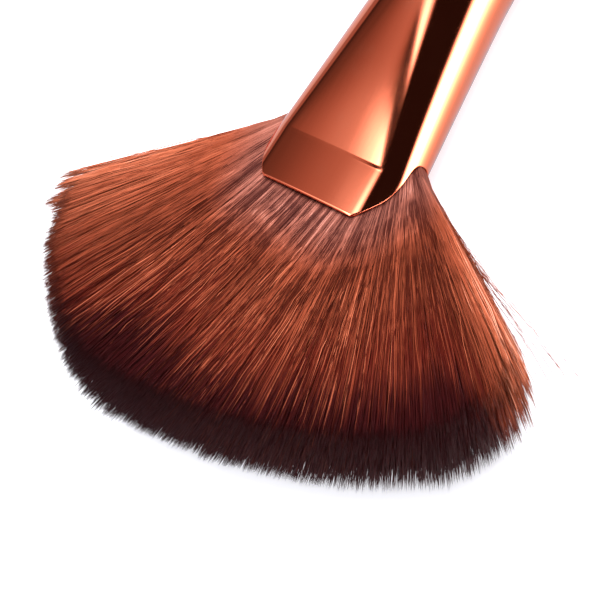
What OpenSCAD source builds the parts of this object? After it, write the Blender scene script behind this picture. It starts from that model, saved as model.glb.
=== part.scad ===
// Fan-shaped powder brush, lying as it rests on a table.
// The brush is worked out along its own axis first: X runs from the handle to the bristle tips, with
// X = 0 at the ferrule's mouth, Y runs across the fan and Z through its thickness. It is then tilted
// until the lowest tips and the handle's end touch the table together.

/* [Bristle head] */
// Length of the hair beyond the ferrule's rim
hair_len = 29.8; // [22:0.2:38]
// Angle between the axis and the outermost hairs at each side of the fan
fan_angle = 54.5; // [35:0.5:60]
// Angle by which both sides of the fan are swept towards +Y
sweep = 1.8; // [0:0.2:4]
// Angle by which the top layer lifts away from the fan's middle plane
splay_top = 7.8; // [5:0.2:15]
// Angle by which the bottom layer drops away from it
splay_bottom = 12.1; // [5:0.1:15]
// How far the fan's thickness falls away towards its two sides
side_round = 0.93; // [0.8:0.01:0.99]
// How much shorter the outer layers are than the middle ones, as a share of the hair
dome = 0.1; // [0:0.01:0.2]
// How much shorter the hair is at both sides of the fan, as a share of the hair
side_trim = 0.042; // [0:0.006:0.12]
// How much longer the hair is at the far +Y side, and shorter at the other, as a share of the hair
side_lean = 0.06; // [0:0.01:0.1]
// How much further one half of the fan reaches than the other, as a share of the hair
sway = 0.054; // [0:0.006:0.09]
// Number of locks across the fan
locks = 38; // [20:1:44]
// Height of a lock's ridge at the tips
lock_height = 0.55; // [0:0.05:0.9]
// Length by which the hollows between locks fall short of the lock tips
lock_notch = 1.3; // [0:0.1:2.5]
// Most by which a lock is longer or shorter than its neighbours
lock_wander = 0.4; // [0:0.1:1]
// Depth of the hair inside the ferrule, down to the glue
root_depth = 20; // [15:0.5:24]

/* [Ferrule] */
// Length of the ferrule
ferrule_len = 45; // [38:1:60]
// Outside diameter at the handle end
back_d = 13; // [11:0.1:15]
// Diameter that the mouth would have if it weren't flattened
mouth_d = 15.1; // [13:0.1:18]
// Outside thickness of the flattened mouth
mouth_thick = 7.9; // [6:0.1:10]
// Length of the flat crimped band at the mouth
band_len = 6; // [3:0.5:9]
// Length over which the band's crease runs out into the round tube
taper_len = 23.6; // [16:0.2:28]
// Thickness of the metal
wall = 0.5; // [0.3:0.05:0.8]
// Depth of the open notch in each narrow side of the mouth
notch_depth = 8.8; // [5:0.2:11]
// Half of the angle round the narrow side that the notch's slot takes up
slot_angle = 36; // [24:1:50]
// The slot's own share of the notch's depth; its flared shoulders make up the rest
slot_share = 0.45; // [0.2:0.05:0.7]

/* [Handle] */
// Length of the handle behind the ferrule
handle_len = 122; // [100:1:150]
// Diameter of the rounded end of the handle
end_d = 8.4; // [7:0.2:10]
// Length of the straight part next to the ferrule
collar_len = 7; // [3:0.5:15]
// Length of the handle's tenon inside the ferrule
tenon_len = 14; // [8:0.5:15]
// Chamfer round the tenon's end
tenon_chamfer = 0.6; // [0.2:0.1:1.5]
// Depth of the small groove where the handle meets the ferrule
groove = 0.35; // [0.1:0.05:0.6]
// Thickness of the glue that seals the hair roots
glue_thick = 4; // [2:0.5:6]

/* [Hidden] */
copper = [0.78, 0.42, 0.28];
hair_brown = [0.45, 0.20, 0.11];
glue_amber = [0.75, 0.60, 0.35];
lacquer = [0.05, 0.045, 0.045];
fit = 0.05;
cut_past = 1;
taper_end = -band_len - taper_len;
notch_base = -max(notch_depth + wall, 1.5 * band_len);
end_steps = 18;
lock_steps = 4;
hair_steps = 4;
cap_steps = 4;
axis_r = end_d / 2;
tail_x = -ferrule_len - handle_len + axis_r;

function clamp(v, lo, hi) = min(max(v, lo), hi);
function mix(a, b, k) = a + (b - a) * k;

// The tube's girth is kept while it is flattened, so the flat's width follows from the thickness
function girth_d(x) = mix(mouth_d, back_d, -x / ferrule_len);
function crimp(x) = clamp((-x - band_len) / taper_len, 0, 1);
function half_thick(x) = mix(mouth_thick, girth_d(x), crimp(x)) / 2;
function half_flat(x) = max(PI / 4 * (girth_d(x) - 2 * half_thick(x)), 0.03);

// Rim of the mouth at an angle from the middle of a narrow side: straight across the flats, with
// flared shoulders that lead into a slot with a rounded end
function slot(a) = 1 / (1 + pow(abs(a) / slot_angle, 8));
function shoulder(a) = pow(max(1 - pow(a / 90, 2), 0), 1.5);
function rim_x(a) = -notch_depth * mix(shoulder(a), slot(a), slot_share);

// Ring of points round the tube, closer together at the slot than at the flats
function end_angle(i) = let (k = i / end_steps) 90 * (0.55 * k + 0.45 * pow(k, 3));
rim_table = [for (i = [0 : end_steps]) [end_angle(i), rim_x(end_angle(i))]];
ring_angles = [for (side = [0, 180], i = [-end_steps : end_steps]) [side, end_angle(i)]];
function tube_point(x, a, inset) =
    let (r = half_thick(x) - inset, side = cos(a[0]))
    [x, side * (half_flat(x) + r * cos(a[1])), side * r * sin(a[1])];

module shell(sections, closed_ends) {
    // Skin over rings of equal length; the last ring joins the first unless the ends are closed
    m = len(sections[0]);
    n = len(sections);
    last = (n - 1) * m;
    sides = [for (i = [0 : n - (closed_ends ? 2 : 1)], j = [0 : m - 1])
        let (a = i * m + j, b = i * m + (j + 1) % m,
             c = ((i + 1) % n) * m + j, d = ((i + 1) % n) * m + (j + 1) % m)
        each [[a, d, b], [a, c, d]]];
    strip = [for (j = [0 : floor(m / 2) - 1])
        let (k = m - 2 - j)
        each [if (k > j + 1) [j, j + 1, k], if (k > j) [j, k, k + 1]]];
    lids = closed_ends
        ? concat(strip, [for (f = strip) [last + f[2], last + f[1], last + f[0]]])
        : [];
    polyhedron(points = [for (s = sections) each s], faces = concat(sides, lids), convexity = 6);
}

// Sections of the flattened part from the round tube to the rim, where they follow the notch
function band_x(a, k) = mix(notch_base, rim_x(a[1]), k);
crimp_stations = [for (k = [0 : 6]) mix(taper_end, notch_base, k / 6)];
band_stations = [1 - band_len / -notch_base - 0.25, 1 - band_len / -notch_base, 0.75, 1];
function skin(inset) = concat(
    [for (x = crimp_stations) [for (a = ring_angles) tube_point(x, a, inset)]],
    [for (k = band_stations) [for (a = ring_angles) tube_point(band_x(a, k), a, inset)]]
);

module ferrule_local() {
    outer = skin(0);
    inner = skin(wall);
    shell(concat(outer, [for (i = [len(inner) - 1 : -1 : 0]) inner[i]]), false);
    difference() {
        round_tube(0, 0);
        round_tube(wall, cut_past);
    }
}

module round_tube(inset, past) {
    // Cone from the handle end to where the crimp's taper starts
    r_back = back_d / 2 - inset;
    r_front = girth_d(taper_end) / 2 - inset;
    length = ferrule_len + taper_end;
    slope = (r_front - r_back) / length;
    translate([-ferrule_len - past, 0, 0]) rotate([0, 90, 0])
        cylinder(h = length + 2 * past, r1 = r_back - past * slope, r2 = r_front + past * slope, $fn = 96);
}

module glue_plug_local() {
    // Resin that fills the ferrule behind the hair roots
    shell([for (k = [0 : 1 / 3 : 1])
        let (x = -root_depth - glue_thick * (1 - k))
        [for (a = ring_angles) tube_point(x, a, wall + fit)]], true);
}

// Hair: a root on the fan at share t across (-1 to 1) and share u through the thickness (-1 to 1)
side_cut = 0.97;
function inner_r(x) = half_thick(x) - wall - fit;
function inner_half(x) = half_flat(x) + inner_r(x) * side_cut;
function end_share(t, x) = clamp((abs(t) * inner_half(x) - half_flat(x)) / inner_r(x), 0, side_cut);
function thin(t, x) = sqrt(1 - pow(end_share(t, x), 2));
function leave_x(t) = lookup(asin(thin(t, 0)), rim_table);
function crease_x(t) = min(-band_len, mix(-root_depth, leave_x(t), 0.85));
function root_x(t, k) = mix(-root_depth, crease_x(t), k / 2);
function inside_point(t, u, x) = [x, t * inner_half(x), u * inner_r(x) * thin(t, x)];
function wave(i) = sin(i * 97) * 0.6 + sin(i * 41) * 0.4;
function reach(t) =
    hair_len * (1 - sway * 2.6 * t * (1 - t * t) + side_lean * pow(t, 3) - side_trim * t * t);
function hair_dir(t, u) =
    let (turn = fan_angle * t + sweep * t * t,
         lift = u * (u > 0 ? splay_top : splay_bottom) * sqrt(1 - pow(side_round * t, 4)))
    [cos(turn) * cos(lift), sin(turn) * cos(lift), sin(lift)];
function ridge(i) = 1 - abs((i % lock_steps) * 2 / lock_steps - 1);
function hair_point(i, u, k) =
    let (t = 2 * i / (locks * lock_steps) - 1,
         crest = ridge(i),
         length = (1 - dome * u * u)
             * (reach(t) - lock_notch * (1 - crest) + wave(floor(i / lock_steps)) * lock_wander),
         root = inside_point(t, u, leave_x(t)))
    root + hair_dir(t, u) * length * k + [0, 0, u * lock_height * crest * k];

// Outline of the head at one place across the fan: down the top layer, over the tips and back
function head_profile(i) =
    let (t = 2 * i / (locks * lock_steps) - 1)
    concat(
        [for (k = [0 : 2]) inside_point(t, 1, root_x(t, k))],
        [for (k = [0 : hair_steps]) hair_point(i, 1, k / hair_steps)],
        [for (k = [1 : cap_steps - 1]) hair_point(i, cos(180 * k / cap_steps), 1)],
        [for (k = [hair_steps : -1 : 0]) hair_point(i, -1, k / hair_steps)],
        [for (k = [2 : -1 : 0]) inside_point(t, -1, root_x(t, k))]
    );
head_profiles = [for (i = [0 : locks * lock_steps]) head_profile(i)];

module bristles_local() shell(head_profiles, true);

module handle_local() {
    // Turned wood: rounded end, straight taper, collar, groove and tenon
    shoulder_r = back_d / 2;
    tenon_r = shoulder_r - wall - fit;
    axis_len = handle_len - axis_r;
    translate([-ferrule_len, 0, 0]) rotate([0, -90, 0]) rotate_extrude($fn = 96)
        polygon(concat(
            [[0, -tenon_len], [tenon_r - tenon_chamfer, -tenon_len], [tenon_r, -tenon_len + tenon_chamfer],
             [tenon_r, 0], [shoulder_r - groove, 0], [shoulder_r - groove, groove],
             [shoulder_r, 2 * groove], [shoulder_r, collar_len]],
            [for (a = [0 : 7.5 : 90]) [axis_r * cos(a), axis_len + axis_r * sin(a)]]
        ));
}

// Tilt of the axis that brings the lowest tip and the handle's rounded end down to the table together
head_points = [for (s = head_profiles) each s];
tilt = max([for (p = head_points)
    atan2(-p[2], p[0] - tail_x) - asin(axis_r / norm([p[0] - tail_x, p[2]]))]);
function settle_x(p) = p[0] * cos(tilt) - p[2] * sin(tilt);
axis_h = axis_r + (0 - tail_x) * sin(tilt);
head_x = max([for (p = head_points) settle_x(p)]);
tail_end_x = tail_x * cos(tilt) - axis_r;
head_y = [for (p = head_points) p[1]];

module settled() {
    // Lying on the table, centred over the origin
    translate([-(head_x + tail_end_x) / 2, -(max(head_y) + min(head_y)) / 2, axis_h])
        rotate([0, -tilt, 0]) children();
}

module bristles() color(hair_brown) settled() bristles_local();
module glue_plug() color(glue_amber) settled() glue_plug_local();
module ferrule() color(copper) settled() ferrule_local();
module handle() color(lacquer) settled() handle_local();

bristles();
glue_plug();
ferrule();
handle();
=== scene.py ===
import math

import bpy
import numpy as np
from mathutils import Matrix, Vector


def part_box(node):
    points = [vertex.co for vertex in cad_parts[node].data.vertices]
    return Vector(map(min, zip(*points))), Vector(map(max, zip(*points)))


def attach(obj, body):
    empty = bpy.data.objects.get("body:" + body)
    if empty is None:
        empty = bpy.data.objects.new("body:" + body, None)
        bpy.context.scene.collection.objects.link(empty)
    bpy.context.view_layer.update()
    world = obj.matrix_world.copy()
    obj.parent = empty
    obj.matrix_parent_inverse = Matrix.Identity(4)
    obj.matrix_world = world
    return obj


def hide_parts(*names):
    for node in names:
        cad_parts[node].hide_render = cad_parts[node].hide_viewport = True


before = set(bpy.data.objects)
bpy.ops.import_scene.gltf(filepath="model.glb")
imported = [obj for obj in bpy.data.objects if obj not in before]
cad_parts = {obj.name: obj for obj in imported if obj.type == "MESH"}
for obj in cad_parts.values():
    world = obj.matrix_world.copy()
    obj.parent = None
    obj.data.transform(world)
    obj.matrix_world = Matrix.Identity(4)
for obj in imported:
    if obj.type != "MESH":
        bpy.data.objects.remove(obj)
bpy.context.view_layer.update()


# Handle. A stick of turned hardwood, lacquered black: a straight collar, a long taper and a rounded end.
# The copper ferrule is pressed on to its tenon, and a small groove marks the joint between the two.
FERRULE_LENGTH = 45.0
HANDLE_LENGTH = 122.0
BACK_DIAMETER = 13.0
END_DIAMETER = 8.4
COLLAR_LENGTH = 7.0
GROOVE = 0.35
TENON_LENGTH = 14.0
TENON_RADIUS = 5.9
TENON_CHAMFER = 0.6
TAPER_BOW = 0.35
POINT_RADIUS = 0.01
LATHE_SEGMENTS = 96
MM = 0.001


def lie_of_axis():
    """Tilt of the brush's axis and its mouth's centre in mm, read from where the CAD's pieces lie.

    The handle's rounded end touches the table, and the ferrule is highest where its taper starts.
    """
    crest_x = -29.6
    crest_radius = 6.86
    end_radius = END_DIAMETER / 2
    reach = FERRULE_LENGTH + HANDLE_LENGTH - end_radius
    crest_reach = reach + crest_x
    low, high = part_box("ferrule")
    rise = high.z / MM - end_radius
    tilt = math.asin(rise / math.hypot(crest_reach, crest_radius)) - math.atan2(crest_radius, crest_reach)
    back_radius = BACK_DIAMETER / 2
    mouth_x = low.x / MM + FERRULE_LENGTH * math.cos(tilt) + back_radius * math.sin(tilt)
    mouth_y = (low.y + high.y) / 2 / MM
    return tilt, np.array([mouth_x, mouth_y, end_radius + reach * math.sin(tilt)])


TILT, MOUTH = lie_of_axis()


def lay_down(points):
    """Points or directions in the brush's own axes, X towards the tips, turned as the brush lies."""
    points = np.asarray(points, float)
    x = points[..., 0] * math.cos(TILT) - points[..., 2] * math.sin(TILT)
    z = points[..., 0] * math.sin(TILT) + points[..., 2] * math.cos(TILT)
    return np.stack([x, points[..., 1], z], axis=-1)


def to_row_frame(points):
    return (lay_down(points) + MOUTH) * MM


def mesh_piece(name, points, faces, finish):
    """A smooth piece from points in the brush's own axes and faces of one size."""
    points = to_row_frame(points)
    faces = np.asarray(faces, np.int32)
    count, corners = faces.shape
    mesh = bpy.data.meshes.new(name)
    mesh.vertices.add(len(points))
    mesh.vertices.foreach_set("co", points.astype(np.float32).ravel())
    mesh.loops.add(count * corners)
    mesh.loops.foreach_set("vertex_index", faces.ravel())
    mesh.polygons.add(count)
    mesh.polygons.foreach_set("loop_start", np.arange(0, count * corners, corners, dtype=np.int32))
    mesh.polygons.foreach_set("use_smooth", np.ones(count, bool))
    mesh.update(calc_edges=True)
    mesh.validate()
    mesh.materials.append(finish)
    piece = bpy.data.objects.new(name, mesh)
    bpy.context.scene.collection.objects.link(piece)
    return piece


def ring_faces(rings, around, closed=False):
    """Quads that join each ring to the next, facing out when the rings run from the tips to the handle."""
    last = rings if closed else rings - 1
    ring, step = np.meshgrid(np.arange(last), np.arange(around), indexing="ij")
    after = (ring + 1) % rings
    beside = (step + 1) % around
    quads = [ring * around + step, ring * around + beside, after * around + beside, after * around + step]
    return np.stack(quads, axis=-1).reshape(-1, 4)


class Channel:
    """One socket of a shader, so that its maths is written as plain expressions."""

    def __init__(self, tree, socket):
        self.tree = tree
        self.socket = socket

    def node(self, kind, inputs=None, output=0, **settings):
        """Any other node: its settings first, then the values or channels of its sockets."""
        made = self.tree.nodes.new("ShaderNode" + kind)
        for name, value in settings.items():
            if name == "stops":
                ramp = made.color_ramp
                while len(ramp.elements) < len(value):
                    ramp.elements.new(0.5)
                for element, (place, shade) in zip(ramp.elements, value):
                    element.position = place
                    element.color = (*shade, 1.0)
            else:
                setattr(made, name, value)
        for name, value in (inputs or {}).items():
            if isinstance(value, Channel):
                self.tree.links.new(value.socket, made.inputs[name])
            else:
                made.inputs[name].default_value = value
        return Channel(self.tree, made.outputs[output])

    def maths(self, operation, *values):
        return self.node("Math", dict(enumerate(values)), operation=operation)

    def __add__(self, other):
        return self.maths("ADD", self, other)

    def __radd__(self, other):
        return self.maths("ADD", other, self)

    def __sub__(self, other):
        return self.maths("SUBTRACT", self, other)

    def __rsub__(self, other):
        return self.maths("SUBTRACT", other, self)

    def __mul__(self, other):
        return self.maths("MULTIPLY", self, other)

    def __rmul__(self, other):
        return self.maths("MULTIPLY", other, self)

    def __truediv__(self, other):
        return self.maths("DIVIDE", self, other)

    def __pow__(self, other):
        return self.maths("POWER", self, other)

    def rise(self, low, high):
        """0 below low and 1 above high, with a smooth step between them."""
        ends = {"Value": self, "From Min": low, "From Max": high}
        return self.node("MapRange", ends, interpolation_type="SMOOTHSTEP")

    def between(self, first, second):
        """The first colour where this is 0 and the second where it is 1."""
        mix = self.node("Mix", data_type="RGBA").socket.node
        sockets = {s.name: s for s in mix.inputs if s.enabled and s.type in ("RGBA", "VALUE")}
        for name, value in (("Factor", self), ("A", first), ("B", second)):
            if isinstance(value, Channel):
                self.tree.links.new(value.socket, sockets[name])
            else:
                sockets[name].default_value = (*value, 1.0)
        return Channel(self.tree, next(s for s in mix.outputs if s.type == "RGBA"))

    def noise(self, place, scale, detail=2.0, roughness=0.5):
        inputs = {"Vector": place, "Scale": scale, "Detail": detail, "Roughness": roughness}
        return self.node("TexNoise", inputs)

    def bump(self, height, strength, distance):
        inputs = {"Height": height, "Strength": strength, "Distance": distance}
        return self.node("Bump", inputs)


def new_finish(name, **constants):
    """A material with one Principled shader, its constants set, and a channel to start its maths from."""
    finish = bpy.data.materials.new(name)
    finish.use_nodes = True
    tree = finish.node_tree
    shader = next(n for n in tree.nodes if n.type == "BSDF_PRINCIPLED")
    for socket, value in constants.items():
        shader.inputs[socket.replace("_", " ")].default_value = value
    start = Channel(tree, shader.outputs[0])
    return finish, shader, start


def feed(shader, socket, channel):
    shader.id_data.links.new(channel.socket, shader.inputs[socket])


def lacquer_finish():
    """Black lacquer over hardwood: a faint grain in the colour, a soft orange-peel and fine rub marks."""
    finish, shader, start = new_finish("black_lacquer", IOR=1.5, Coat_Weight=0.6, Coat_Roughness=0.06)
    place = start.node("TexCoord", output="Object")
    along_grain = start.node("VectorMath", {0: place, 1: (90.0, 900.0, 900.0)}, operation="MULTIPLY")
    grain = start.noise(along_grain, 1.0, 4.0, 0.6)
    feed(shader, "Base Color", grain.rise(0.35, 0.75).between((0.010, 0.008, 0.008), (0.026, 0.019, 0.017)))
    rubs = start.noise(place, 700.0, 3.0)
    feed(shader, "Roughness", 0.20 + 0.12 * rubs)
    peel = start.noise(place, 420.0, 1.0)
    feed(shader, "Normal", start.bump(peel, 0.05, 0.0004))
    return finish


def handle_profile():
    """(distance behind the ferrule, radius) from the tenon's end to the handle's rounded end."""
    shoulder = BACK_DIAMETER / 2
    end_radius = END_DIAMETER / 2
    axis_length = HANDLE_LENGTH - end_radius
    lead = [
        (-TENON_LENGTH, POINT_RADIUS),
        (-TENON_LENGTH, TENON_RADIUS - TENON_CHAMFER),
        (-TENON_LENGTH + TENON_CHAMFER, TENON_RADIUS),
    ]
    joint = [(-0.02, TENON_RADIUS), (0.0, shoulder - GROOVE), (GROOVE, shoulder - GROOVE)]
    edge = [
        (2 * GROOVE - GROOVE * math.cos(a), shoulder - GROOVE + GROOVE * math.sin(a))
        for a in np.radians(np.linspace(0, 90, 7))
    ]
    taper = []
    for k in np.linspace(0, 1, 40):
        behind = COLLAR_LENGTH + k * (axis_length - COLLAR_LENGTH)
        straight = shoulder + (end_radius - shoulder) * k
        bow = TAPER_BOW * math.sin(math.pi * k) * min(1.0, k * 4)
        taper.append((behind, straight + bow))
    dome = [
        (axis_length + end_radius * math.sin(a), max(end_radius * math.cos(a), POINT_RADIUS))
        for a in np.radians(np.linspace(6, 90, 15))
    ]
    return np.array(lead + joint + edge + taper + dome)


def turn_handle():
    profile = handle_profile()
    angles = np.linspace(0, 2 * np.pi, LATHE_SEGMENTS, endpoint=False)
    behind, radius = profile[:, 0, None], profile[:, 1, None]
    rings = np.stack(
        [
            np.broadcast_to(-FERRULE_LENGTH - behind, (len(profile), LATHE_SEGMENTS)),
            radius * np.cos(angles),
            radius * np.sin(angles),
        ],
        axis=-1,
    )
    faces = ring_faces(len(profile), LATHE_SEGMENTS)
    return mesh_piece("handle_turned", rings.reshape(-1, 3), faces, lacquer_finish())


handle = turn_handle()
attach(handle, "root")
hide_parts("handle")


# Ferrule. A seamless copper-coloured metal tube, polished and clear-lacquered. Its mouth is pressed flat in
# a die, which leaves a band with a crease behind it, and each narrow side is open in a rounded notch.
MOUTH_DIAMETER = 15.1
MOUTH_THICKNESS = 7.9
BAND_LENGTH = 6.0
TAPER_LENGTH = 23.6
WALL = 0.5
NOTCH_DEPTH = 8.8
SLOT_ANGLE = math.radians(36.0)
SLOT_SHARE = 0.45
CROWN = math.radians(5.0)
CREASE_RIDGE = 0.012
CREASE_WIDTH = 0.13
TAPER_EASE = 2.5
FLAT_STEPS = 12
END_STEPS = 44
COPPER = (0.88, 0.185, 0.084)
COPPER_RUBBED = (0.82, 0.20, 0.10)


def girth(x):
    return MOUTH_DIAMETER + (BACK_DIAMETER - MOUTH_DIAMETER) * (-x / FERRULE_LENGTH)


def half_thickness(x):
    """Half the pressed tube's thickness, eased where the taper runs out into the round tube."""
    k = np.clip((-x - BAND_LENGTH) / TAPER_LENGTH, 0, 1)
    ease = TAPER_EASE / TAPER_LENGTH
    k = np.where(k > 1 - ease, k - (k - 1 + ease) ** 2 / (2 * ease) * 0.5, k)
    k = np.where(-x >= BAND_LENGTH + TAPER_LENGTH, 1.0, k)
    ridge = CREASE_RIDGE * np.exp(-(((x + BAND_LENGTH) / CREASE_WIDTH) ** 2))
    return (MOUTH_THICKNESS + (girth(x) - MOUTH_THICKNESS) * k) / 2 + ridge


def half_flat(x):
    return np.maximum(math.pi / 4 * (girth(x) - 2 * half_thickness(x)), 0.03)


def rim_x(angle):
    """Where the mouth's edge lies at an angle from the middle of a narrow side to the flats.

    Flared shoulders lead from the flats into a slot with a rounded end.
    """
    slot = 1 / (1 + (np.abs(angle) / SLOT_ANGLE) ** 8)
    shoulder = np.maximum(1 - (angle / (math.pi / 2)) ** 2, 0) ** 1.5
    return -NOTCH_DEPTH * (SLOT_SHARE * slot + (1 - SLOT_SHARE) * shoulder)


def section_angles():
    """Direction of the outward normal round the tube, from one flat over the side to the other."""
    k = np.linspace(-1, 1, 2 * END_STEPS + 1)
    side = (math.pi / 2 - CROWN) * (0.5 * k + 0.5 * k**3)
    flat = np.linspace(-CROWN, CROWN, FLAT_STEPS + 1)[1:-1]
    right = [("side", 1, a) for a in side]
    top = [("flat", 1, -a) for a in flat]
    left = [("side", -1, a) for a in side]
    bottom = [("flat", -1, -a) for a in flat]
    return right + top + left + bottom


SECTION = section_angles()


def tube_point(x, place, inset):
    """A point on the tube's skin at depth x, or inset below it.

    Its flats are crowned, as pressed tube springs back a little.
    """
    kind, sign, angle = place
    width = half_flat(x)
    thick = half_thickness(x)
    corner = thick - inset
    if kind == "side":
        return [x, sign * (width + corner * math.cos(angle)), sign * corner * math.sin(angle)]
    bow = width / math.sin(CROWN)
    across = sign * (bow + corner) * math.sin(angle)
    up = sign * ((bow + corner) * math.cos(angle) - bow * math.cos(CROWN))
    return [x, across, up]


def mouth_edge(place):
    """The mouth's edge at a place round the section. The flats end where the crown begins."""
    kind, _, angle = place
    return rim_x(math.pi / 2 if kind == "flat" else angle * (math.pi / 2) / (math.pi / 2 - CROWN))


def band_point(place, share, inset, base, edge):
    """A point between the notch's base and the mouth's edge. Half of the shares end at the crease."""
    crease = min(-BAND_LENGTH, base + (edge - base) * 0.75)
    x = np.interp(share, [0, 0.5, 1], [base, crease, edge])
    return tube_point(x, place, inset)


def ferrule_rings():
    """Rings from inside the mouth, over its rounded lip, along the outside to the back and in again."""
    base = -NOTCH_DEPTH - WALL
    lip = WALL / 2
    behind = np.linspace(0, 0.42, 8)
    crease = np.linspace(0.44, 0.54, 15)
    band = np.linspace(0.57, 0.98, 11)
    shares = np.concatenate([behind, crease, band, [0.995, 1]])
    tube = np.concatenate(
        [np.linspace(base, -BAND_LENGTH - TAPER_LENGTH, 40)[1:], np.linspace(-30.2, -FERRULE_LENGTH, 14)]
    )
    outer, inner, turn = [], [], []
    for share in shares[::-1]:
        outer.append([band_point(p, share, 0.0, base, mouth_edge(p) - lip) for p in SECTION])
        inner.append([band_point(p, share, WALL, base, mouth_edge(p) - lip) for p in SECTION])
    for a in np.radians(np.linspace(18, 162, 9)):
        forward = lip * math.sin(a)
        inset = lip - lip * math.cos(a)
        turn.append([tube_point(mouth_edge(p) - lip + forward, p, WALL - inset) for p in SECTION])
    for x in tube:
        outer.append([tube_point(x, p, 0.0) for p in SECTION])
    for x in tube[::3]:
        inner.append([tube_point(x, p, WALL) for p in SECTION])
    inner.append([tube_point(-FERRULE_LENGTH, p, WALL) for p in SECTION])
    return inner[::-1] + turn + outer


def copper_finish():
    """Polished copper-coloured metal: faint draw lines along the tube and small dull rubs."""
    finish, shader, start = new_finish("polished_copper", Metallic=1.0)
    place = start.node("TexCoord", output="Object")
    rubs = start.noise(place, 160.0, 4.0, 0.6)
    feed(shader, "Base Color", rubs.rise(0.5, 0.8).between(COPPER, COPPER_RUBBED))
    lines = start.node("VectorMath", {0: place, 1: (60.0, 2500.0, 2500.0)}, operation="MULTIPLY")
    drawn = start.noise(lines, 1.0, 3.0)
    feed(shader, "Roughness", 0.07 + 0.05 * rubs.rise(0.45, 0.8) + 0.03 * drawn)
    feed(shader, "Normal", start.bump(drawn, 0.006, 0.0002))
    return finish


def press_ferrule():
    rings = ferrule_rings()
    faces = ring_faces(len(rings), len(SECTION), closed=True)
    return mesh_piece("ferrule_pressed", np.array(rings, float).reshape(-1, 3), faces, copper_finish())


ferrule = press_ferrule()
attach(ferrule, "root")
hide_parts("ferrule")


# Glue plug. Amber resin poured behind the hair roots, where it holds every hair and seals the ferrule.
# It is hidden between the roots and the handle's tenon, so the CAD solid stays and gets a finish.
def glue_finish():
    finish, shader, start = new_finish("amber_resin", Roughness=0.25, IOR=1.52)
    place = start.node("TexCoord", output="Object")
    cloud = start.noise(place, 500.0, 3.0)
    feed(shader, "Base Color", cloud.rise(0.3, 0.7).between((0.42, 0.22, 0.07), (0.60, 0.38, 0.15)))
    return finish


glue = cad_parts["glue_plug"]
glue.data.materials.clear()
glue.data.materials.append(glue_finish())


# Hair. Some twenty-four thousand straight synthetic filaments, tapered to a point and dipped dark at the
# tips. They are packed flat in the ferrule and spread from its mouth into a fan, thickest at its middle.
HAIR_LENGTH = 29.8
FAN_ANGLE = math.radians(54.5)
SWEEP = math.radians(1.8)
SPLAY_TOP = math.radians(7.8)
SPLAY_BOTTOM = math.radians(12.1)
SIDE_ROUND = 0.93
DOME = 0.1
SIDE_TRIM = 0.042
SIDE_LEAN = 0.06
SWAY = 0.054
RIGHT_BOW = 0.6
FIT = 0.05
SIDE_CUT = 0.97
# Shares across the fan, from its left edge to its right, and where in the mouth their hair stands.
FAN_SHARES = (-1, -0.58, -0.43, -0.34, -0.28, -0.20, -0.12, -0.05, 0.05, 0.15, 0.27, 0.55, 1)
ROOT_SHARES = (-1, -0.95, -0.85, -0.65, -0.36, 0.02, 0.38, 0.56, 0.66, 0.75, 0.85, 0.95, 1)
# The trim by hand: shares across the fan and how much longer the hair was left there.
TRIM_SHARES = (
    *(-1, -0.93, -0.86, -0.78, -0.65, -0.54, -0.42, -0.3, -0.22, -0.12),
    *(0.1, 0.3, 0.45, 0.62, 0.74, 0.84, 0.92, 0.97, 1),
)
TRIMS = (
    *(2.2, 0.2, -0.9, -1.6, -1.3, -0.5, 0.5, 1.2, 0.3, -0.9),
    *(-0.7, 0, 0.5, 1.0, 0.8, 0, -0.9, -1.2, -3.4),
)
TOP_HAIRS = 7400
UNDER_HAIRS = 4000
CORE_HAIRS = 12600
LOOSE_HAIRS = 34
LOOSE_SLIM = 0.42
LOOSE_STRAY = 5.0
CROSSING_HAIRS = 0.10
CROSSING_STRAY = 3.5
# How many locks lie across and through the head: for the tips, for the shades and for the painted streaks
# of light and shade near the mouth.
TIP_LOCKS = (90, 9)
SHADE_LOCKS = (240, 9)
PAINTED_STREAK_LOCKS = (70, 5)
TOP_STATIONS = (-0.08, 0.0, 0.08, 0.16, 0.24, 0.33, 0.42, 0.53, 0.65, 0.79, 0.93, 1.0)
UNDER_STATIONS = (-0.08, 0.0, 0.22, 0.55, 0.92, 1.0)
CORE_STATIONS = (-0.02, 0.10, 0.45, 0.92, 1.0)
MOST_TRIANGLES = 198000
HAIR_RADIUS = 0.062
RADIUS_SPREAD = (0.75, 1.15)
HAIR_TAPER = ((-0.1, 0.0, 0.55, 0.85, 1.0), (0.9, 1.0, 0.95, 0.9, 0.55))
WAVE_SIZE = (0.03, 0.15)
WAVE_TURNS = (2.0, 5.5)
SHADES = 64
# Painted shadow: the colour of the hair's roots in the ferrule's shade.
PAINTED_ROOT_SHADE = (0.022, 0.0024, 0.0012)
RUST_WINE = (0.080, 0.0060, 0.0042)
RUST_DEEP = (0.042, 0.0065, 0.0032)
RUST_LIGHT = (0.205, 0.042, 0.0190)
# Painted light: the two palest colours are reached mostly by the painted glints, the painted streaks and
# the sides' painted glow.
RUST_BRIGHT = (0.41, 0.112, 0.056)
RUST_PALE = (0.70, 0.35, 0.25)
DIPPED = (0.023, 0.0028, 0.0031)
DIP_FROM = 0.92
DIP_SPAN = 0.22
# Shares across the fan's left side, and how much later along the hair its dip begins there.
LEFT_SHARES = (-1, -0.9, -0.8, -0.55, -0.4, -0.3)
LEFT_DELAYS = (0.9, 0.5, 0.26, 0.24, 0.12, 0)
# Painted highlights: the share of hairs that get a painted glint, and how much paler it makes them.
PAINTED_GLINT_HAIRS = 0.12
PAINTED_GLINT = 0.40
TUFTS_FROM = 0.78
WHOLE_TUFTS_FROM = 0.84
FLOOR_GAP = 0.12
rng = np.random.default_rng(11)


def inner_radius(x):
    return half_thickness(x) - WALL - FIT


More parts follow.
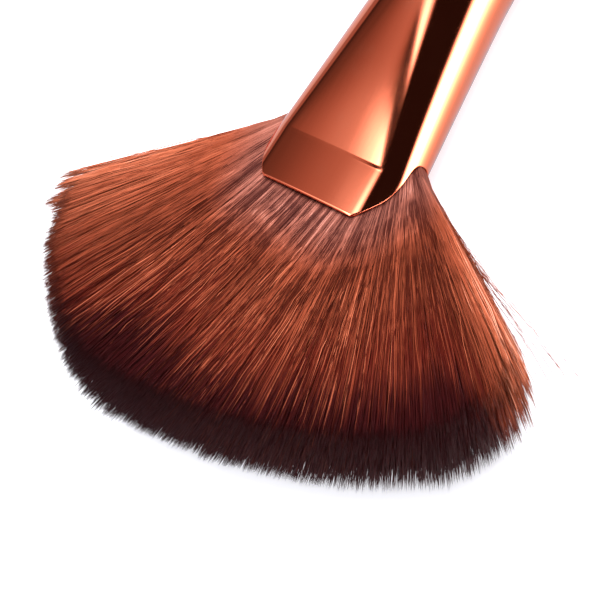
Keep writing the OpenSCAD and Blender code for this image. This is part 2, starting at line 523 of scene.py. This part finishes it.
def inner_half(x):
    return half_flat(x) + inner_radius(x) * SIDE_CUT


def thinning(t, x):
    """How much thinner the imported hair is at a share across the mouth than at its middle."""
    share = np.clip((np.abs(t) * inner_half(x) - half_flat(x)) / inner_radius(x), 0, SIDE_CUT)
    return np.sqrt(1 - share**2)


def bell(t, middle, width):
    return np.exp(-(((t - middle) / width) ** 2))


def root_share(t):
    """Where in the mouth a share of the fan stands. Both of its thin sides come out of the notches."""
    return np.interp(t, FAN_SHARES, ROOT_SHARES)


def inside_point(t, u, x):
    return np.stack([x, t * inner_half(x), u * inner_radius(x) * thinning(t, x)], axis=-1)


def leave_x(t):
    return rim_x(np.arcsin(thinning(t, np.zeros_like(t))))


def reach(t):
    return HAIR_LENGTH * (1 - SWAY * 2.6 * t * (1 - t * t) + SIDE_LEAN * t**3 - SIDE_TRIM * t * t)


def hair_direction(t, u):
    turn = FAN_ANGLE * t + SWEEP * t * t
    splay = np.where(u > 0, SPLAY_TOP, SPLAY_BOTTOM)
    lift = u * splay * np.sqrt(np.clip(1 - (SIDE_ROUND * t) ** 4, 0.02, 1))
    return np.stack([np.cos(turn) * np.cos(lift), np.sin(turn) * np.cos(lift), np.sin(lift)], axis=-1)


def gathered(t, u, count_t, count_u):
    """The middle of the lock that each hair belongs to, as a share across and through the head."""
    row = np.round((u + 1) / 2 * count_u)
    shift = 0.5 * (row % 2)
    lock_t = (np.round((t + 1) / 2 * count_t + shift) - shift) / count_t * 2 - 1
    lock_u = row / count_u * 2 - 1
    key = (np.round(lock_t * 977) * 131 + row * 7919).astype(np.int64)
    wander = np.sin(key * 12.9898) * 43758.5453
    wander = (wander - np.floor(wander)) * 2 - 1
    return lock_t + wander * 0.5 / count_t, lock_u + wander * 0.3 / count_u, wander


def hair_length(t, u, tip_u, wander, tuft, flare):
    """Each hair's free length: the fan's curve, the trim by hand, uneven tufts and a little chance."""
    length = reach(t) * (1 - DOME * np.clip(tip_u, -1.1, 1.1) ** 2)
    uneven = np.where(t < 0, tuft, tuft * 0.6)
    length = length * (1.003 + 0.05 * bell(t, -0.45, 0.2) * (u < 0))
    length = length + np.interp(t, TRIM_SHARES, TRIMS) + 25.0 * flare
    return length * (1 + (0.008 + 0.10 * uneven) * wander + rng.normal(0, 0.005 + 0.015 * uneven))


def hair_paths(t, u, stations, stray, flare):
    """Points of each hair at each station, from just inside the mouth to its tip.

    The tips gather into locks, most of all in the fan's two sides, and each hair has a slight wave.
    """
    count = len(t)
    lock_t, lock_u, wander = gathered(t, np.where(t < -WHOLE_TUFTS_FROM, 0.0, u), *TIP_LOCKS)
    tuft = np.clip((np.abs(t) - TUFTS_FROM) / (1 - TUFTS_FROM), 0, 1)
    tip_t = t + (lock_t - t) * (0.22 + 0.75 * np.minimum(tuft * 1.5, 1))
    tip_t = tip_t + rng.normal(0, 0.012, count) * stray * (1 - 0.75 * tuft) + flare
    tip_u = u + (lock_u - u) * (0.2 + 0.7 * tuft) + rng.normal(0, 0.04, count) * stray
    held = root_share(t)
    out = leave_x(held)
    root = inside_point(held, u, out)
    length = hair_length(t, u, tip_u, wander, tuft, flare)
    start_way = hair_direction(t * 0.92, u * 0.8)
    end_way = hair_direction(tip_t, tip_u)
    shift = root - inside_point(t, u, leave_x(t))
    length = length - shift[:, 0] * end_way[:, 0] - shift[:, 1] * end_way[:, 1]
    wave_phase = rng.normal(0, 0.8, (count, 2)) + np.pi * np.stack([wander, -wander], axis=1) * 3
    wave_size = rng.uniform(*WAVE_SIZE, (count, 2)) * np.sqrt(stray)[:, None]
    wave_turns = rng.uniform(*WAVE_TURNS, (count, 2))
    paths = []
    for s in stations:
        if s < 0:
            paths.append(inside_point(held * 0.995, u * 0.97, out + s * HAIR_LENGTH))
            continue
        blend = min(1.0, s * 1.2)
        way = start_way + (end_way - start_way) * blend
        point = root + way * (length * s)[:, None]
        swing = wave_size * np.sin(wave_phase + wave_turns * 2 * np.pi * s) * min(1.0, s * 3)
        bow = RIGHT_BOW * np.clip(t, 0, 1) ** 4 * math.sin(math.pi * s)
        point[:, 0] -= bow * np.sin(FAN_ANGLE * t)
        point[:, 1] += bow * np.cos(FAN_ANGLE * t) + swing[:, 0]
        point[:, 2] += swing[:, 1] * 0.7
        paths.append(point)
    return rest_on_table(np.stack(paths, axis=1))


def rest_on_table(paths):
    """The lowest hairs bend where they meet the table, and lie on it with their tips."""
    height = (lay_down(paths) + MOUTH)[..., 2]
    paths[..., 2] += np.maximum(FLOOR_GAP - height, 0) / math.cos(TILT)
    return paths


def dip_start(t):
    """Share of the hair's length at which the dark dip begins. It begins later towards the fan's two edges,
    and at their very edges beyond the tip.
    """
    left = np.interp(t, LEFT_SHARES, LEFT_DELAYS)
    right = np.clip(t - 0.74, 0, 1) + 1.9 * np.clip(t - 0.82, 0, 1)
    return DIP_FROM - 0.10 * bell(t, -0.27, 0.1) + left + right


def hair_mesh(name, t, u, stations, finish, stray, flare, slim):
    """One piece of closed three-sided filaments. Its map holds the shade across and the dip along."""
    paths = hair_paths(t, u, stations, stray, flare)
    count, steps, _ = paths.shape
    forward = np.gradient(paths, axis=1)
    forward /= np.linalg.norm(forward, axis=2, keepdims=True)
    side = np.cross(forward, np.array([0.0, 0.0, 1.0]))
    side /= np.linalg.norm(side, axis=2, keepdims=True)
    up = np.cross(side, forward)
    taper = np.interp(stations, *HAIR_TAPER)
    radius = HAIR_RADIUS * slim * rng.uniform(*RADIUS_SPREAD, count)
    spin = rng.uniform(0, 2 * np.pi, count)
    corners = []
    for corner in range(3):
        angle = spin + corner * 2 * np.pi / 3
        out = side * np.cos(angle)[:, None, None] + up * np.sin(angle)[:, None, None]
        corners.append(paths + out * (radius[:, None] * taper)[..., None])
    rings = np.stack(corners, axis=2)
    body = rings[:, :-1].reshape(count, -1, 3)
    tips = paths[:, -1:]
    points = np.concatenate([body, tips], axis=1)
    per_hair = points.shape[1]
    faces = []
    for ring in range(steps - 2):
        for corner in range(3):
            a = ring * 3 + corner
            b = ring * 3 + (corner + 1) % 3
            faces += [(a, b, a + 3), (b, b + 3, a + 3)]
    for corner in range(3):
        faces.append(((steps - 2) * 3 + corner, (steps - 2) * 3 + (corner + 1) % 3, per_hair - 1))
    faces.append((2, 1, 0))
    faces = np.array(faces)[:, ::-1]
    every = (np.arange(count)[:, None, None] * per_hair + faces[None]).reshape(-1, 3)
    piece = mesh_piece(name, points.reshape(-1, 3), every, finish)
    share = np.repeat(np.array(stations[:-1]), 3)
    share = np.concatenate([share, [1.0]])
    along = np.broadcast_to(share, (count, per_hair))
    dip = (along - dip_start(t)[:, None]) / DIP_SPAN
    shade = np.floor(np.clip(own_shade(t, u) - 0.4 * (1 - slim), 0, 0.999) * SHADES) / SHADES
    # Each lock's painted streak: near the mouth it is lighter or darker, standing for glints and shaded
    # gaps.
    streak = gathered(root_share(t), u, *PAINTED_STREAK_LOCKS)[2]
    paint(piece, shade, streak, dip, along, per_hair)
    return piece


def own_shade(t, u):
    """Each hair's shade: partly its lock's and partly its own, paler at the fan's thin sides as painted
    light shining through them, with painted glints on a few hairs and painted shade in two bands across the
    fan.
    """
    lock = gathered(t, u, *SHADE_LOCKS)[2]
    left = np.clip((-t - 0.4) / 0.6, 0, 1)
    right = np.clip((t - 0.84) / 0.16, 0, 1)
    # A few hairs get a painted glint: their shade is raised as if they caught the light.
    painted_glint = np.where(rng.uniform(0, 1, len(t)) < PAINTED_GLINT_HAIRS, PAINTED_GLINT, 0.0)
    calm = np.clip((t - 0.35) / 0.3, 0, 1) * 0.5 + np.clip((-t - 0.3) / 0.3, 0, 1) * 0.6
    own = rng.normal(0, 1, len(t)) * (0.25 - 0.12 * left) * (1 - calm)
    # Painted shade: two bands across the fan are darkened, where the hair lies in shade.
    painted_shade = 0.13 * bell(t, 0.66, 0.20) + 0.03 * bell(t, -0.42, 0.12)
    # Painted light: the fan's thin sides are made paler as if lit through, and the painted glints and
    # painted shade are added here.
    shade = 0.17 + 0.05 * lock + own + painted_glint * (1 - left) * (1 - calm) + 0.64 * left + 0.54 * right - painted_shade
    return np.minimum(shade, 0.73 + 0.27 * left + 0.15 * right)


def paint(piece, shade, streak, dip, along, per_hair):
    """Keeps each hair's shade and its painted streak of light or shade, and how far into the dip and from
    the mouth each point is.
    """
    mesh = piece.data
    every_shade = np.repeat(shade, per_hair)
    kept = {"shade": every_shade, "streak": np.repeat(streak, per_hair), "dip": dip, "along": along}
    for name, values in kept.items():
        attribute = mesh.attributes.new(name, "FLOAT", "POINT")
        attribute.data.foreach_set("value", values.astype(np.float32).ravel())
    corner_of = np.empty(len(mesh.loops), np.int32)
    mesh.loops.foreach_get("vertex_index", corner_of)
    layer = mesh.uv_layers.new(name="OFBake")
    lane = every_shade[corner_of] + (0.2 + 0.3 * (corner_of % per_hair % 3)) / SHADES
    down = np.clip((dip.ravel()[corner_of] + 8) / 10, 0.001, 0.999)
    layer.data.foreach_set("uv", np.stack([lane, down], axis=-1).astype(np.float32).ravel())


def hair_finish():
    """Dyed synthetic filament: rust brown, with a shade of its own for each hair, and a dark dip.

    Near the mouth, where the hair lies tight, it gets painted light and shade: streaks lock by lock, a pink
    sheen, glints along each hair, and a painted shadow at the roots by the mouth's edge.
    """
    finish, shader, start = new_finish("dyed_filament", Roughness=0.40, IOR=1.5, Specular_IOR_Level=0.05)
    names = ("shade", "streak", "dip", "along")
    shade, streak, dip, along = (start.node("Attribute", output="Fac", attribute_name=n) for n in names)
    stops = [(0.0, RUST_DEEP), (0.5, RUST_LIGHT), (0.8, RUST_BRIGHT), (1.0, RUST_PALE)]
    # Painted glints and shade: noise along each hair makes it lighter and darker in patches, most near the
    # mouth.
    strand = start.node("CombineXYZ", {0: shade * (10.0 * SHADES), 1: dip * 1.1})
    painted_strand_glints = start.noise(strand, 1.0, 3.0, 0.6)
    spread = shade.maths("MAXIMUM", 2.1 - 4.2 * shade, 0.3) * (2.3 - 1.25 * along.rise(0.06, 0.42))
    # Painted shade: each hair's shade is darker near the mouth, where the ferrule shades it, and lighter
    # towards its tip.
    lift = shade * (0.67 + 0.38 * along.rise(0.05, 0.7)) + (painted_strand_glints - 0.5) * spread
    # Painted streaks: lock by lock the hair near the mouth is lighter or darker, standing for glints and
    # shaded gaps between clumps.
    lift = lift + streak * 0.22 * (1 - 0.85 * along.rise(0.08, 0.55))
    rust = start.node("ValToRGB", {"Fac": lift}, stops=stops)
    # Painted sheen: near the mouth the colour is tinted pink and brighter, as if the tight hair shone.
    painted_sheen = start.node("VectorMath", {0: rust, 1: (1.14, 1.85, 2.95)}, operation="MULTIPLY")
    rust = along.rise(0.04, 0.32).between(painted_sheen, rust)
    # Painted shadow: the roots just inside and at the mouth's edge are darkened, as the ferrule shades
    # them.
    rust = along.rise(-0.012, 0.026).between(PAINTED_ROOT_SHADE, rust)
    depth = dip + (0.3 - shade) * 1.1
    fading = (depth.rise(-2.2, -0.3) * 0.5).between(rust, RUST_WINE)
    feed(shader, "Base Color", depth.rise(-0.9, 0.1).between(fading, DIPPED))
    return finish


def lay_hair():
    finish = hair_finish()
    made = []

    def share_out(kind, t, u, stations, stray, flare=0.0, slim=1.0):
        per_hair = (len(stations) - 2) * 6 + 4
        groups = math.ceil(len(t) * per_hair / MOST_TRIANGLES)
        for number, some in enumerate(np.array_split(np.arange(len(t)), groups), 1):
            name = f"hair_{kind}_{number}"
            made.append(hair_mesh(name, t[some], u[some], stations, finish, stray[some], flare, slim))

    coats = (("top", 1, TOP_HAIRS, TOP_STATIONS), ("under", -1, UNDER_HAIRS, UNDER_STATIONS))
    for kind, sign, count, stations in coats:
        t = spread_across(count)
        u = sign * (1 - 0.38 * rng.uniform(0, 1, count) ** 2)
        share_out(kind, t, u, stations, wildness(count))
    t = spread_across(CORE_HAIRS)
    u = rng.uniform(-1, 1, CORE_HAIRS) * 0.95
    share_out("core", t, u, CORE_STATIONS, wildness(CORE_HAIRS))
    t = rng.uniform(0.97, 1.0, LOOSE_HAIRS)
    u = rng.uniform(-0.6, 0.7, LOOSE_HAIRS)
    flare = rng.uniform(0.03, 0.18, LOOSE_HAIRS)
    share_out("loose", t, u, TOP_STATIONS, np.full(LOOSE_HAIRS, LOOSE_STRAY), flare, LOOSE_SLIM)
    return made


def spread_across(count):
    """Shares across the fan: half even in the mouth, half even in the fan, whose sides are thinner."""
    t = rng.uniform(-1, 1, count * 3)
    even = rng.uniform(0, 1, count * 3) < 0.5
    t = np.where(even, np.interp(t, ROOT_SHARES, FAN_SHARES), t)
    keep = rng.uniform(0, 1, count * 3) < 0.35 + 0.65 * np.sqrt(1 - (SIDE_ROUND * t) ** 4)
    return t[keep][:count]


def wildness(count):
    """Most hairs lie true and a few cross their neighbours."""
    return np.where(rng.uniform(0, 1, count) < CROSSING_HAIRS, CROSSING_STRAY, 1.0)


hair = lay_hair()
for piece in hair:
    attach(piece, "root")
    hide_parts("bristles")


# Camera. It looks down on the fan from beyond its right side, close enough to cut off the handle.
# It was fitted to the ferrule's outline and creases, so its roll and off-centre frame belong to the view.
CAMERA_REACH = 170.0
CAMERA_PITCH = 0.5488
CAMERA_SWING = -0.1474
CAMERA_ROLL = 0.5378
CAMERA_CENTRE = (319.1, 208.7)
CAMERA_SCALE = 9.167
IMAGE_SIDE = 600
SENSOR = 36.0


def place_camera():
    pitch, swing, roll = CAMERA_PITCH, CAMERA_SWING, CAMERA_ROLL
    tips = np.array([1.0, 0.0, 0.0])
    above = np.array([0.0, math.sin(pitch), math.cos(pitch)])
    across = np.array([0.0, math.cos(pitch), -math.sin(pitch)])
    look = math.sin(swing) * tips - math.cos(swing) * above
    back = -math.cos(swing) * tips - math.sin(swing) * above
    right = math.cos(roll) * across + math.sin(roll) * back
    upward = -math.sin(roll) * across + math.cos(roll) * back
    look, right, upward = (lay_down(v) for v in (look, right, upward))
    lens = bpy.data.cameras.new("camera")
    lens.sensor_width = SENSOR
    lens.lens = CAMERA_SCALE * CAMERA_REACH / IMAGE_SIDE * SENSOR
    lens.shift_x = (IMAGE_SIDE / 2 - CAMERA_CENTRE[0]) / IMAGE_SIDE
    lens.shift_y = (CAMERA_CENTRE[1] - IMAGE_SIDE / 2) / IMAGE_SIDE
    lens.clip_start = 0.01
    camera = bpy.data.objects.new("camera", lens)
    turn = Matrix([[right[i], upward[i], -look[i]] for i in range(3)])
    camera.matrix_world = Matrix.Translation((MOUTH - look * CAMERA_REACH) * MM) @ turn.to_4x4()
    bpy.context.scene.collection.objects.link(camera)
    bpy.context.scene.camera = camera


place_camera()


# Studio. A white table under one large soft light, with a dark room beyond it that the metal reflects.
# The table glows a little, so that it stays white to the edges of the picture.
FLOOR_SIDE = 3.0
LAMP_PLACE = (-0.12, 0.03, 0.58)
LAMP_TARGET = (0.06, 0.0, 0.0)
LAMP_SIZE = (0.5, 0.35)
LAMP_POWER = 11.0


def lay_floor():
    matte = {"Roughness": 0.9, "Specular_IOR_Level": 0.0, "Emission_Strength": 1.0}
    finish, shader, start = new_finish("white_table", **matte)
    across = start.node("SeparateXYZ", {0: start.node("TexCoord", output="Object")}, output=1)
    metal = start.node("LightPath", output="Is Glossy Ray")
    # Painted reflection: in the metal the table looks darker, and beyond the brush's right side it glows
    # brightly, as a brightly lit table there would.
    feed(shader, "Base Color", metal.between((0.50, 0.50, 0.52), (0.15, 0.15, 0.16)))
    reflected_glow = across.rise(0.010, 0.055).between((0.34, 0.52, 0.62), (14.0, 14.0, 14.0))
    feed(shader, "Emission Color", metal.between((0.66, 0.66, 0.70), reflected_glow))
    mesh = bpy.data.meshes.new("floor")
    half = FLOOR_SIDE / 2
    corners = [(-half, -half, 0), (half, -half, 0), (half, half, 0), (-half, half, 0)]
    mesh.from_pydata(corners, [], [(0, 1, 2, 3)])
    mesh.materials.append(finish)
    floor = bpy.data.objects.new("floor", mesh)
    bpy.context.scene.collection.objects.link(floor)


def hang_lamp():
    """The ceiling's soft lamp. Metal doesn't mirror it: there the room's brightness stands for it."""
    lamp = bpy.data.lights.new("ceiling_panel", "AREA")
    lamp.shape = "RECTANGLE"
    lamp.size, lamp.size_y = LAMP_SIZE
    lamp.energy = LAMP_POWER
    hung = bpy.data.objects.new("ceiling_panel", lamp)
    hung.location = LAMP_PLACE
    way = Vector(LAMP_PLACE) - Vector(LAMP_TARGET)
    hung.rotation_euler = way.to_track_quat("Z", "Y").to_euler()
    hung.visible_glossy = False
    bpy.context.scene.collection.objects.link(hung)


def light_room():
    """A white room for the table and the hair.

    Polished metal sees it darker: by the angle from straight up towards the brush's right side, a grey
    wall, a dim ceiling, a gap, and a window. Two ceiling panels hang where the ceiling ends.
    """
    world = bpy.data.worlds.new("room")
    bpy.context.scene.world = world
    world.use_nodes = True
    tree = world.node_tree
    background = next(n for n in tree.nodes if n.type == "BACKGROUND")
    start = Channel(tree, background.outputs[0])
    look = start.node("TexCoord", output="Generated")
    x, y, z = (start.node("SeparateXYZ", {0: look}, output=i) for i in range(3))
    angle = start.maths("ARCTAN2", y, z) * (180 / math.pi)
    slant = x / (y * y + z * z) ** 0.5
    wall = 0.62 - 0.55 * angle.rise(-77, -74) + 0.10 * angle.rise(-70, -62) + 0.07 * angle.rise(-62, -50)
    ceiling = 0.66 * (angle.rise(-46, -25) - angle.rise(-25, -19))
    shade = 0.62 + 0.36 * slant.rise(-0.09, -0.01) + 2.0 * slant.rise(0.12, 0.30)
    gap = 1 - angle.rise(-25, -16)
    window = 15.0 * angle.rise(70, 90)
    band = slant.rise(-0.28, -0.18) * (1 - slant.rise(-0.175, -0.15))
    near_panel = 7.0 * band * angle.rise(-30, -6) ** 1.5
    far_panel = 8.0 * slant.rise(-0.07, -0.01) * angle.rise(-29, -15) ** 1.2
    panels = (near_panel + far_panel) * (1 - angle.rise(-6, 8))
    seen = (wall * gap + ceiling) * shade + window + panels + 0.018
    metal = start.node("LightPath", output="Is Glossy Ray")
    strength = metal * seen + (1 - metal)
    tint = seen.rise(0.25, 1.1).between((1.0, 0.80, 0.80), (1.0, 1.16, 1.36))
    tree.links.new(strength.socket, background.inputs["Strength"])
    tree.links.new(metal.between((1.0, 1.0, 1.0), tint).socket, background.inputs["Color"])


lay_floor()
light_room()
hang_lamp()
bpy.context.scene.view_settings.view_transform = "Standard"
